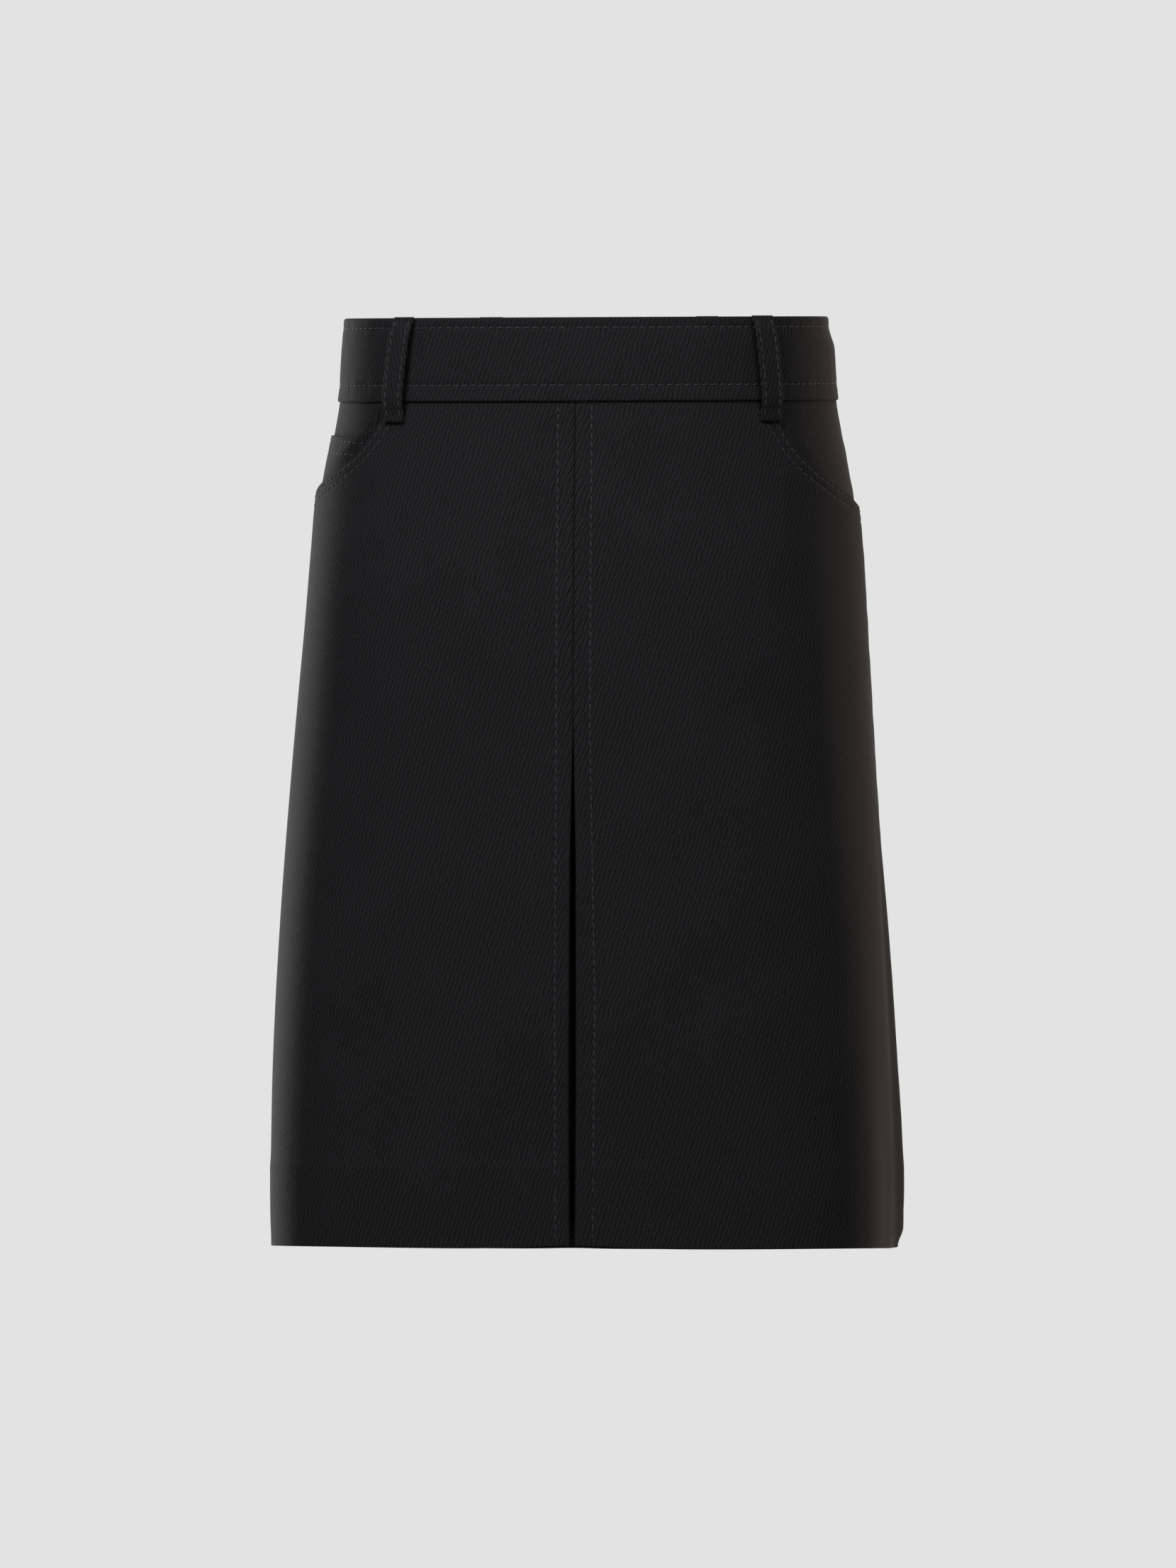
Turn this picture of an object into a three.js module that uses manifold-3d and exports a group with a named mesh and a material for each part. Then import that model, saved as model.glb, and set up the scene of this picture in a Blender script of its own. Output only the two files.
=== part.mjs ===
// Box pleated skirt: a short A-line skirt of heavy wool twill with a straight waistband, belt loops,
// curved front pockets, a coin pocket, an inverted box pleat down the centre front and a concealed
// zip in the centre back seam. It is held open in its worn shape, hollow from waist to hem.
//
// Millimetres, +Z up. The front faces -Y and the wearer's left is +X. The origin is the centre of the
// waist opening, at the waistband's mid height.
//
// A place on the cloth is given by u, h and d. u runs round the skirt: 0 at the centre front, 1 at the
// side seam and 2 at the centre back. h is the depth below the waistband's top edge. d is the distance
// out from the inner face of the main cloth, and every layer of cloth keeps a d range of its own.
import * as THREE from 'three';
import Module from 'manifold-3d';
import { mergeVertices } from 'three/addons/utils/BufferGeometryUtils.js';

// ---------- driving dimensions ----------
const LENGTH = 518;          // top of the waistband to the hem
const CLOTH = 1.2;           // thickness of the wool twill
const SEAM_GAP = 0.3;        // between two pieces that are sewn together
const LAYER_GAP = 0.4;       // between two pieces that lie on each other
const BAND_HEIGHT = 47;
const BAND_SLOT = 9;         // how far the panels run up between the waistband's two walls
const WAIST_TILT = 6;        // the front of the waist is this much lower, and the back higher
const SEAM_BEHIND = 4;       // the side seam lies behind the widest point of the section
const RETURN_DEPTH = 48;     // cloth folded back at each edge of the box pleat
const UNDERLAY_HALF = 50;
const TURN_UP = 45;          // hem turned up inside
const TURN_UP_THICK = 0.9;
const BAG_THICK = 1.0;
const DIP_RUN = 9;           // the pocket facing sinks under the mouth's edge over this height
const LOOP_WIDTH = 13;
const LOOP_THICK = 1.8;
const ZIP_LENGTH = 200;
const TAPE_WIDTH = 12;
const TAPE_THICK = 1;
const BAND_END = 0.9;        // from the centre back line to each end of the waistband

// Half sections of the worn skirt: a half breadth, front and back depths, and how square it is.
const SECTIONS = [
  { h: 0, half: 135, front: 94, back: 92, square: 2.25 },
  { h: 46, half: 138.6, front: 96, back: 98, square: 2.25 },
  { h: 95, half: 147.5, front: 101, back: 108, square: 2.3 },
  { h: 140, half: 154.2, front: 106, back: 114, square: 2.35 },
  { h: 180, half: 158, front: 109, back: 117, square: 2.4 },
  { h: 260, half: 164, front: 112, back: 118, square: 2.5 },
  { h: 340, half: 169.6, front: 114.5, back: 118.5, square: 2.65 },
  { h: 420, half: 173.8, front: 116.5, back: 119, square: 2.8 },
  { h: 480, half: 175.2, front: 117.5, back: 119.5, square: 3 },
  { h: 518, half: 174.6, front: 118, back: 120, square: 3.1 },
];

// Soft vertical folds that the hanging cloth makes, and a slight sway to the wearer's right: u of the
// crest, its half width in u, the heights where it starts and is deepest, and how far it stands out.
const DRAPE = [
  { side: 1, u: 1, width: 0.5, start: 90, deep: 300, out: -2.8 },
  { side: -1, u: 1, width: 0.5, start: 90, deep: 300, out: 1.6 },
  { side: 1, u: 0.96, width: 0.09, start: 260, deep: 450, out: 2 },
  { side: 1, u: 0.8, width: 0.12, start: 290, deep: 518, out: -2 },
  { side: -1, u: 0.95, width: 0.12, start: 420, deep: 500, out: -1.8 },
  { side: 1, u: 1.45, width: 0.2, start: 200, deep: 518, out: 3 },
  { side: -1, u: 1.5, width: 0.22, start: 220, deep: 518, out: 2.5 },
];

// Pocket mouths: cloth distance s from the centre front, and the height of each mouth's edge.
const MOUTH = [
  { s: 107, left: 47, right: 47 },
  { s: 116, left: 58.5, right: 57.5 },
  { s: 121.5, left: 67, right: 65 },
  { s: 127, left: 74, right: 70.5 },
  { s: 134, left: 80.5, right: 76.5 },
  { s: 146, left: 88.5, right: 83 },
  { s: 160, left: 95.5, right: 88.5 },
  { s: 175, left: 101, right: 93.5 },
  { s: 190, left: 106, right: 98.5 },
  { s: 209, left: 109.5, right: 102.5 },
];
// How far the mouth's loose edge stands out from the hip.
const MOUTH_LIFT = [
  { u: 0.55, left: 0, right: 0 },
  { u: 0.6, left: 0.3, right: 0.3 },
  { u: 0.7, left: 1.2, right: 1.2 },
  { u: 0.8, left: 2.2, right: 2.5 },
  { u: 0.9, left: 3.1, right: 4.2 },
  { u: 0.96, left: 2.7, right: 3.8 },
  { u: 1, left: 1.2, right: 1.6 },
];
const LIFT_FADE = 38;        // the lift dies away over this height below the edge
// The room between the front panel and the facing under it. The right one holds the coin pocket.
const POCKET_ROOM = { left: CLOTH + LAYER_GAP, right: 2 * (CLOTH + LAYER_GAP) };

// Half the opening between the two folded edges of the pleat: sewn shut, then hanging free.
const PLEAT_GAP = [
  { h: 0, half: 0.2 },
  { h: 228, half: 0.2 },
  { h: 300, half: 1.2 },
  { h: 420, half: 1.6 },
  { h: 518, half: 1.1 },
];

// Columns of every panel on the front and back, so that layers on each other have parallel facets.
const FRONT_U = [0.018, 0.045, 0.1, 0.17, 0.24, 0.31, 0.38, 0.44, 0.5, 0.5515, 0.5535, 0.57, 0.59,
  0.61, 0.633, 0.663, 0.715, 0.78, 0.84, 0.91, 0.955, 1];
const BACK_U = [1, 1.05, 1.11, 1.18, 1.26, 1.34, 1.43, 1.52, 1.61, 1.7, 1.8, 1.9, 2];
const PANEL_ROWS = [38, 47.4, 60, 78, 100, 128, 160, 205, 260, 325, 400, 472, 475, 518];
const MOUTH_U = 0.553;       // where the mouth leaves the waistband

// ---------- tables and sections ----------
function lookUp(table, by, key, at) {
  const last = table.length - 1;
  let i = 0;
  while (i < last - 1 && at > table[i + 1][by]) i++;
  const slope = (k) => {
    const lo = table[Math.max(k - 1, 0)];
    const hi = table[Math.min(k + 1, last)];
    return (hi[key] - lo[key]) / (hi[by] - lo[by]);
  };
  const [from, to] = [table[i], table[i + 1]];
  const run = to[by] - from[by];
  const t = THREE.MathUtils.clamp((at - from[by]) / run, 0, 1);
  const turn = t * t * (3 - 2 * t);
  return from[key] * (1 - turn) + to[key] * turn
    + run * (t * (1 - t) * (1 - t) * slope(i) - t * t * (1 - t) * slope(i + 1));
}

function straight(table, by, key, at) {
  const i = Math.max(1, table.findIndex((row) => row[by] >= at));
  const [from, to] = [table[i - 1], table[i]];
  const t = THREE.MathUtils.clamp((at - from[by]) / (to[by] - from[by]), 0, 1);
  return from[key] + t * (to[key] - from[key]);
}

// One half section, from the centre front round to the centre back, as points with their cloth
// distance. Its polar form is a superellipse with a front depth and a back depth of its own.
const SECTION_STEPS = 720;
const sections = new Map();
function sectionAt(h) {
  const key = h.toFixed(4);
  if (sections.has(key)) return sections.get(key);
  const [half, front, back, square] = ['half', 'front', 'back', 'square']
    .map((name) => lookUp(SECTIONS, 'h', name, h));
  const points = [];
  let s = 0;
  for (let k = 0; k <= SECTION_STEPS; k++) {
    const angle = (Math.PI * k) / SECTION_STEPS;
    const across = Math.abs(Math.sin(angle)) / half;
    const along = Math.abs(Math.cos(angle)) / (angle < Math.PI / 2 ? front : back);
    const radius = (across ** square + along ** square) ** (-1 / square);
    const x = radius * Math.sin(angle);
    const y = -radius * Math.cos(angle);
    const before = points[k - 1];
    if (before) s += Math.hypot(x - before.x, y - before.y);
    points.push({ x, y, s });
  }
  const section = { points, front, back, seam: points[SECTION_STEPS / 2].s + SEAM_BEHIND, end: s };
  sections.set(key, section);
  return section;
}

const distanceAt = (u, h) => {
  const { seam, end } = sectionAt(h);
  return u <= 1 ? u * seam : seam + (u - 1) * (end - seam);
};
const uAt = (s, h) => {
  const { seam, end } = sectionAt(h);
  return s <= seam ? s / seam : 1 + (s - seam) / (end - seam);
};

function drapeOut(side, u, h) {
  let out = 0;
  for (const fold of DRAPE) {
    const reach = Math.abs(u - fold.u) / fold.width;
    if (fold.side !== side || reach >= 1) continue;
    out += fold.out * Math.cos((reach * Math.PI) / 2) ** 2
      * THREE.MathUtils.smoothstep(h, fold.start, fold.deep);
  }
  return out;
}

// The point at cloth distance s and depth h, moved out by d. Past the centre front s is negative.
function onCloth(side, s, h, d) {
  const { points, front, back, end } = sectionAt(h);
  const reach = Math.min(Math.abs(s), end);
  let lo = 0;
  let hi = SECTION_STEPS;
  while (hi - lo > 1) {
    const mid = (lo + hi) >> 1;
    if (points[mid].s < reach) lo = mid;
    else hi = mid;
  }
  const [from, to] = [points[lo], points[hi]];
  const t = (reach - from.s) / (to.s - from.s);
  const before = points[Math.max(lo - 1, 0)];
  const after = points[Math.min(hi + 1, SECTION_STEPS)];
  const flat = reach < 1e-6 || end - reach < 1e-6;
  const run = flat ? [Math.sign(to.x - from.x), 0] : [after.x - before.x, after.y - before.y];
  const size = Math.hypot(...run);
  const out = d + drapeOut(side, uAt(reach, h), h);
  const x = from.x + t * (to.x - from.x) + (out * run[1]) / size;
  const y = from.y + t * (to.y - from.y) - (out * run[0]) / size;
  const tilt = WAIST_TILT * (1 - h / LENGTH) * (y < 0 ? y / front : y / back);
  return new THREE.Vector3(side * Math.sign(s || 1) * x, y, BAND_HEIGHT / 2 - h + tilt);
}

// ---------- the pockets' layers ----------
const SIDES = { left: 1, right: -1 };
const nameOf = (side) => (side > 0 ? 'left' : 'right');
const mouthByU = Object.fromEntries(Object.keys(SIDES).map((name) => [name,
  MOUTH.map((row) => ({ u: uAt(row.s, row[name]), h: row[name] }))]));
const mouthAt = (side, u) => lookUp(mouthByU[nameOf(side)], 'u', 'h', Math.max(u, MOUTH_U));

function liftAt(side, u, h) {
  if (u <= MOUTH_U || u > 1) return 0;
  const below = Math.max(h - mouthAt(side, u), 0);
  return lookUp(MOUTH_LIFT, 'u', nameOf(side), u) * Math.exp(-((below / LIFT_FADE) ** 1.4));
}

// The facing is flush with the hip above the mouth, and under the front panel it makes room.
function facingOut(side, u, h) {
  const under = Math.min(0, liftAt(side, u, h) - POCKET_ROOM[nameOf(side)]);
  if (u < MOUTH_U) return under;
  const above = mouthAt(side, u) - 1 - h;
  return under * THREE.MathUtils.clamp(1 - above / DIP_RUN, 0, 1);
}

// ---------- solids ----------
// A closed wall over a grid of columns and rows. place(column, row, face) gives a point, with face 0
// on the inside and face 1 on the outside; mirrored turns the triangles for the right half.
function wall(columns, rows, place, mirrored) {
  const position = [];
  const index = [];
  const at = (i, j, face) => (i * rows.length + j) * 2 + face;
  columns.forEach((column, i) => rows.forEach((row, j) => {
    for (const face of [0, 1]) position.push(...place(column, row, face, i, j).toArray());
  }));
  const quad = (a, b, c, d) => {
    if (mirrored) index.push(a, c, b, a, d, c);
    else index.push(a, b, c, a, c, d);
  };
  const [lastI, lastJ] = [columns.length - 1, rows.length - 1];
  for (let i = 0; i < lastI; i++) {
    for (let j = 0; j < lastJ; j++) {
      quad(at(i, j, 1), at(i, j + 1, 1), at(i + 1, j + 1, 1), at(i + 1, j, 1));
      quad(at(i, j, 0), at(i + 1, j, 0), at(i + 1, j + 1, 0), at(i, j + 1, 0));
    }
    quad(at(i, 0, 0), at(i, 0, 1), at(i + 1, 0, 1), at(i + 1, 0, 0));
    quad(at(i, lastJ, 1), at(i, lastJ, 0), at(i + 1, lastJ, 0), at(i + 1, lastJ, 1));
  }
  for (let j = 0; j < lastJ; j++) {
    quad(at(0, j, 0), at(0, j + 1, 0), at(0, j + 1, 1), at(0, j, 1));
    quad(at(lastI, j, 1), at(lastI, j + 1, 1), at(lastI, j + 1, 0), at(lastI, j, 0));
  }
  return solid(position, index);
}

// A closed tube: a section of (d, h) points carried round the columns, closed at both ends.
function sweep(columns, section, place) {
  const position = [];
  const index = [];
  const count = section.length;
  columns.forEach((column, i) => section.forEach((corner) => {
    position.push(...place(column, corner, i).toArray());
  }));
  for (let i = 0; i < columns.length - 1; i++) {
    for (let k = 0; k < count; k++) {
      const [a, b] = [i * count + k, i * count + ((k + 1) % count)];
      index.push(a, b, b + count, a, b + count, a + count);
    }
  }
  const last = (columns.length - 1) * count;
  const outline = section.map((corner) => new THREE.Vector2(corner.d, corner.h));
  for (const [a, b, c] of THREE.ShapeUtils.triangulateShape(outline, [])) {
    index.push(a, c, b, last + a, last + b, last + c);
  }
  return solid(position, index);
}

function solid(position, index) {
  const geometry = new THREE.BufferGeometry();
  geometry.setAttribute('position', new THREE.Float32BufferAttribute(position, 3));
  geometry.setIndex(index);
  geometry.computeVertexNormals();
  return geometry;
}

// ---------- materials ----------
const finish = (color, roughness, metalness = 0) => (
  new THREE.MeshStandardMaterial({ color, roughness, metalness }));
const WOOL = finish('#232226', 0.9);
const POCKETING = finish('#1a191b', 0.85);
const TAPE = finish('#171719', 0.8);
const BLACK_NICKEL = finish('#3a3a3e', 0.35, 0.9);

const skirt = new THREE.Group();
function add(name, geometry, material, parent = skirt) {
  const mesh = new THREE.Mesh(geometry, material);
  mesh.name = name;
  parent.add(mesh);
  return mesh;
}

// ---------- front panels, with the pleat's folded edge and return ----------
const UNDER_BAND = BAND_HEIGHT + LAYER_GAP;
const IN_SLOT = BAND_HEIGHT - BAND_SLOT;
const FOLD_CENTRE = -LAYER_GAP / 2;          // d of the fold's own axis
const FOLD_RADII = [LAYER_GAP / 2, CLOTH + LAYER_GAP / 2];

// Rows near a shaped top edge close up, and lie level again this far down.
const LEVEL_BELOW = 200;
const rowUnder = (top, row) => (
  row + (top - IN_SLOT) * Math.max(0, 1 - (row - IN_SLOT) / (LEVEL_BELOW - IN_SLOT)));

function turnUp(u, h) {
  const inPleat = u < 0.23;
  return inPleat ? 0 : TURN_UP_THICK * THREE.MathUtils.smoothstep(h, LENGTH - TURN_UP - 1, LENGTH - TURN_UP + 2);
}

function frontPanel(side) {
  const returns = [RETURN_DEPTH, 36, 24, 12, 5].map((s) => ({ s }));
  const fold = [1, 0.75, 0.5, 0.25, 0].map((turn) => ({ turn }));
  const face = FRONT_U.map((u) => ({ u }));
  const place = (column, row, which) => {
    if (column.u === undefined) {
      const h = rowUnder(UNDER_BAND, row);
      if (column.s) return onCloth(side, column.s, h, -LAYER_GAP - which * CLOTH);
      const radius = FOLD_RADII[which];
      const axis = FOLD_RADII[1] + straight(PLEAT_GAP, 'h', 'half', h);
      const angle = Math.PI * column.turn;
      return onCloth(side, axis - radius * Math.sin(angle), h, FOLD_CENTRE + radius * Math.cos(angle));
    }
    const { u } = column;
    const slotTop = u < 0.04 ? UNDER_BAND : IN_SLOT;
    const h = rowUnder(u > MOUTH_U ? mouthAt(side, u) : slotTop, row);
    const s = distanceAt(u, h) - (u === 1 ? SEAM_GAP / 2 : 0);
    return onCloth(side, s, h, liftAt(side, u, h) + (which ? CLOTH : -turnUp(u, h)));
  };
  add(`front_${nameOf(side)}`, wall([...returns, ...fold, ...face], PANEL_ROWS, place, side < 0), WOOL);
}

function pleatUnderlay() {
  const reach = [50, 38, 26, 13, 0].map((s) => -s);
  const columns = [...reach, 13, 26, 38, UNDERLAY_HALF];
  const outer = -2 * LAYER_GAP - CLOTH;
  const place = (s, row, which) => onCloth(1, s, rowUnder(UNDER_BAND, row), outer - (1 - which) * CLOTH);
  add('pleat_underlay', wall(columns, PANEL_ROWS, place, false), WOOL);
}

// ---------- pockets ----------
const FACING_BOTTOM = [
  { u: 0.44, h: 100 },
  { u: 0.56, h: 118 },
  { u: 0.72, h: 136 },
  { u: 1, h: 148 },
];
const BAG_BOTTOM = [
  { u: 0.38, h: 165 },
  { u: 0.44, h: 203 },
  { u: 0.55, h: 219 },
  { u: 0.72, h: 224 },
  { u: 0.9, h: 218 },
  { u: 1, h: 204 },
];

// Rows of a facing: below the band, to where it starts to sink, the mouth's edge, and its bottom.
function facingRows(side, u, top, bottom) {
  const clear = Math.max(UNDER_BAND, top + 1.5);
  const edge = Math.max(mouthAt(side, u) - 1, clear + 3);
  const sink = Math.max(edge - DIP_RUN, clear + 1.5);
  const low = edge + 12;
  return [top, clear, (clear + sink) / 2, sink, (sink + edge) / 2, edge, low, (low + bottom) / 2, bottom];
}

function pocketFacing(side) {
  const columns = FRONT_U.filter((u) => u >= 0.44 && u !== 0.5535);
  const rows = [0, 1, 2, 3, 4, 5, 6, 7, 8];
  const place = (u, row, which) => {
    const top = u < 0.64 ? UNDER_BAND : IN_SLOT;
    const h = facingRows(side, u, top, straight(FACING_BOTTOM, 'u', 'h', u))[row];
    const s = distanceAt(u, h) - (u === 1 ? SEAM_GAP / 2 : 0);
    return onCloth(side, s, h, facingOut(side, u, h) + which * CLOTH);
  };
  add(`pocket_facing_${nameOf(side)}`, wall(columns, rows, place, side < 0), WOOL);
}

function pocketBag(side) {
  const columns = FRONT_U.filter((u) => u >= 0.38 && u !== 0.5535);
  const rows = [0, 0.06, 0.2, 0.4, 0.6, 0.8, 1];
  const outer = -POCKET_ROOM[nameOf(side)] - 1.5 * LAYER_GAP;
  const place = (u, row, which) => {
    const h = THREE.MathUtils.lerp(BAND_HEIGHT - 3, straight(BAG_BOTTOM, 'u', 'h', u), row);
    const s = distanceAt(u, h) - (u === 1 ? SEAM_GAP : 0);
    return onCloth(side, s, h, outer - (1 - which) * BAG_THICK);
  };
  add(`pocket_bag_${nameOf(side)}`, wall(columns, rows, place, side < 0), POCKETING);
}

// The coin pocket lies on the right facing, and runs down under the front panel.
const COIN_TOP = [
  { u: 0.59, h: 69 },
  { u: 0.65, h: 68.5 },
  { u: 0.85, h: 66 },
  { u: 1, h: 66 },
];
const COIN_BELOW_EDGE = 17;
function coinPocket() {
  const side = SIDES.right;
  const columns = FRONT_U.filter((u) => u >= 0.59);
  const place = (u, row, which) => {
    const top = straight(COIN_TOP, 'u', 'h', u);
    const edge = mouthAt(side, u) - 1;
    const rows = [top, Math.max(edge - DIP_RUN, top + 1), Math.max(edge - DIP_RUN / 2, top + 2),
      Math.max(edge, top + 3), Math.max(edge + 12, top + 10), Math.max(edge + COIN_BELOW_EDGE, top + 14)];
    const h = rows[row];
    const s = distanceAt(u, h) - (u === 1 ? SEAM_GAP / 2 : 0);
    return onCloth(side, s, h, facingOut(side, u, h) + CLOTH + LAYER_GAP + which * CLOTH);
  };
  add('coin_pocket', wall(columns, [0, 1, 2, 3, 4, 5], place, true), WOOL);
}

// ---------- back panels ----------
function backPanel(side) {
  const place = (u, h, which) => {
    const gap = { 1: SEAM_GAP / 2, 2: -SEAM_GAP / 2 }[u] ?? 0;
    return onCloth(side, distanceAt(u, h) + gap, h, which ? CLOTH : -turnUp(u, h));
  };
  add(`back_${nameOf(side)}`, wall(BACK_U, PANEL_ROWS, place, side < 0), WOOL);
}

// ---------- waistband ----------
// Its section: a thick doubled band above, and two walls that take the panels between them below.
const BAND_OUT = 2.6;
const BAND_IN = -1.3;
const BAND_SECTION = [
  { d: BAND_OUT, h: 47 },
  { d: 1.5, h: 47 },
  { d: 1.5, h: 37.6 },
  { d: -0.3, h: 37.6 },
  { d: -0.3, h: 47 },
  { d: BAND_IN, h: 47 },
  { d: BAND_IN, h: 36 },
  { d: -0.2, h: 33 },
  { d: -0.2, h: 0 },
  { d: BAND_OUT, h: 0 },
];

function waistband() {
  const half = [0, ...FRONT_U.slice(1), ...BACK_U.slice(1)].filter((u) => u !== 0.5535);
  const columns = [...half.slice(1).reverse().map((u) => ({ side: -1, u })), ...half.map((u) => ({ side: 1, u }))];
  const place = ({ side, u }, { d, h }) => {
    const s = distanceAt(u, h) - (u === 2 ? BAND_END : 0);
    return onCloth(side, s, h, d);
  };
  add('waistband', sweep(columns, BAND_SECTION, place), WOOL);
}

// ---------- belt loops ----------
// The loop's inner face along its length: on the band, out over the belt's room, and on the panel.
const LOOP_PATH = [
  { h: -0.5, d: 3 },
  { h: 2.5, d: 3.6 },
  { h: 6, d: 5.2 },
  { h: 12, d: 6.1 },
  { h: 28, d: 6.4 },
  { h: 43, d: 6 },
  { h: 49, d: 4.6 },
  { h: 53, d: 2.8 },
  { h: 58.5, d: 1.7 },
];
// Each loop's centre line at its top and its foot, as cloth distance from the centre front or back.
const LOOPS = [
  { name: 'belt_loop_front_left', side: 1, from: 'front', top: 104.5, foot: 110.5 },
  { name: 'belt_loop_front_right', side: -1, from: 'front', top: 98.5, foot: 105.5 },
  { name: 'belt_loop_back_left', side: 1, from: 'back', top: 62, foot: 64 },
  { name: 'belt_loop_back_right', side: -1, from: 'back', top: 62, foot: 64 },
];

function beltLoop({ name, side, from, top, foot }) {
  const place = (across, { h, d }, which) => {
    const s = THREE.MathUtils.mapLinear(h, 0, LOOP_PATH.at(-1).h, top, foot) + across;
    return onCloth(side, from === 'front' ? s : sectionAt(h).end - s, h, d + which * LOOP_THICK);
  };
  const mirrored = (side < 0) !== (from === 'back');
  add(name, wall([-LOOP_WIDTH / 2, 0, LOOP_WIDTH / 2], LOOP_PATH, place, mirrored), WOOL);
}

// ---------- centre back zip ----------
function zipTape(side) {
  const outer = BAND_IN - LAYER_GAP;
  const rows = [4, 25, 47, 75, 105, 135, 168, ZIP_LENGTH];
  const place = (back, h, which) => (
    onCloth(side, sectionAt(h).end - back, h, outer - (1 - which) * TAPE_THICK));
  add(`zip_tape_${nameOf(side)}`, wall([TAPE_WIDTH, TAPE_WIDTH / 2, BAND_END], rows, place, side < 0), TAPE);
}

const wasm = await Module();
wasm.setup();
function toManifold(geometry) {
  const bare = geometry.toNonIndexed();
  for (const name of ['normal', 'uv']) bare.deleteAttribute(name);
  const merged = mergeVertices(bare);
  return new wasm.Manifold(new wasm.Mesh({
    numProp: 3,
    vertProperties: new Float32Array(merged.attributes.position.array),
    triVerts: new Uint32Array(merged.index.array),
  }));
}

function box(x, y, z, at) {
  return toManifold(new THREE.BoxGeometry(x, y, z).translate(...at));
}

// The slider and its pull tab have a frame of their own: y out from the cloth, z up along it, and the
// origin on the centre back line, on the band's outer face, level with the tab's hinge.
const SLIDER_AT = 11;        // depth of the hinge below the waistband's top edge
const HINGE_OUT = 2.7;       // the tab's crossbar stands this far out of the band
const ZIP_WEB = 1;          // the slider's neck, between the band's two ends
const PLATE = { wide: 6, tall: 9, thick: 1.2, out: 0.4 };
const ARCH = { wide: 1.4, inside: 4.2, leg: 0.9, high: 2.5 };
const TAB = { wide: 5, eye: 2.6, eyeLong: 4.2, bar: 0.9, long: 21, tip: 7.5 };

function zipSlider(parent) {
  const face = PLATE.out + PLATE.thick;
  const inner = -(BAND_OUT - BAND_IN + 2 * LAYER_GAP + TAPE_THICK);   // outer face of the inner plate
  const overlap = 0.1;
  let body = box(PLATE.wide, PLATE.thick, PLATE.tall, [0, face - PLATE.thick / 2, 0]);
  body = body.add(box(PLATE.wide + 1, 1, PLATE.tall, [0, inner - 0.5, 0]));
  const web = face - overlap - inner + overlap;
  body = body.add(box(ZIP_WEB, web, PLATE.tall - 2, [0, face - overlap - web / 2, 0]));
  const post = (ARCH.inside + ARCH.leg) / 2;
  for (const z of [-post, post]) {
    body = body.add(box(ARCH.wide, ARCH.high + overlap, ARCH.leg, [0, face + (ARCH.high - overlap) / 2, z]));
  }
  const crown = ARCH.inside + 2 * ARCH.leg;
  body = body.add(box(ARCH.wide, ARCH.leg, crown, [0, face + ARCH.high - overlap + ARCH.leg / 2, 0]));
  const mesh = body.getMesh();
  add('zip_slider', solid([...mesh.vertProperties], [...mesh.triVerts]), BLACK_NICKEL, parent);
}

function zipTab(parent) {
  const [half, top] = [TAB.wide / 2, TAB.bar / 2];
  const outline = new THREE.Shape();
  outline.moveTo(-half, top);
  outline.lineTo(-half, -TAB.eyeLong - 1);
  outline.lineTo(-TAB.tip / 2, -TAB.long + TAB.tip / 2);
  outline.absarc(0, -TAB.long + TAB.tip / 2, TAB.tip / 2, Math.PI, 2 * Math.PI, false);
  outline.lineTo(half, -TAB.eyeLong - 1);
  outline.lineTo(half, top);
  const eye = new THREE.Path();
  eye.moveTo(-TAB.eye / 2, -top);
  eye.lineTo(TAB.eye / 2, -top);
  eye.lineTo(TAB.eye / 2, -TAB.eyeLong);
  eye.lineTo(-TAB.eye / 2, -TAB.eyeLong);
  outline.holes.push(eye);
  const plate = new THREE.ExtrudeGeometry(outline, { depth: TAB.bar, bevelEnabled: false, curveSegments: 8 });
  plate.rotateX(Math.PI / 2).translate(0, TAB.bar / 2, 0);
  for (const name of ['normal', 'uv']) plate.deleteAttribute(name);
  const tab = add('zip_tab', mergeVertices(plate), BLACK_NICKEL, parent);
  tab.position.set(0, HINGE_OUT, 0);
}

function zip() {
  for (const side of Object.values(SIDES)) zipTape(side);
  const here = onCloth(1, sectionAt(SLIDER_AT).end, SLIDER_AT, BAND_OUT);
  const below = onCloth(1, sectionAt(SLIDER_AT + 10).end, SLIDER_AT + 10, BAND_OUT);
  const frame = new THREE.Group();
  frame.position.copy(here);
  frame.rotation.x = Math.atan2(below.y - here.y, here.z - below.z);
  skirt.add(frame);
  zipSlider(frame);
  zipTab(frame);
}

for (const side of Object.values(SIDES)) {
  frontPanel(side);
  backPanel(side);
  pocketFacing(side);
  pocketBag(side);
}
pleatUnderlay();
coinPocket();
waistband();
LOOPS.forEach(beltLoop);
zip();

export default skirt;
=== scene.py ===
"""Box pleated skirt in black wool twill: the looks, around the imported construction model.

The cloth is laid out on the same worn form as the construction model. A place on it is (s, h, d): s is the
cloth distance from the centre front, h the depth below the waistband's top edge, d the distance out from
the inner face of the main cloth. u runs round: 0 centre front, 1 side seam, 2 centre back. All of these are
in millimetres, and meshes are written in metres."""
import math

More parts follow.
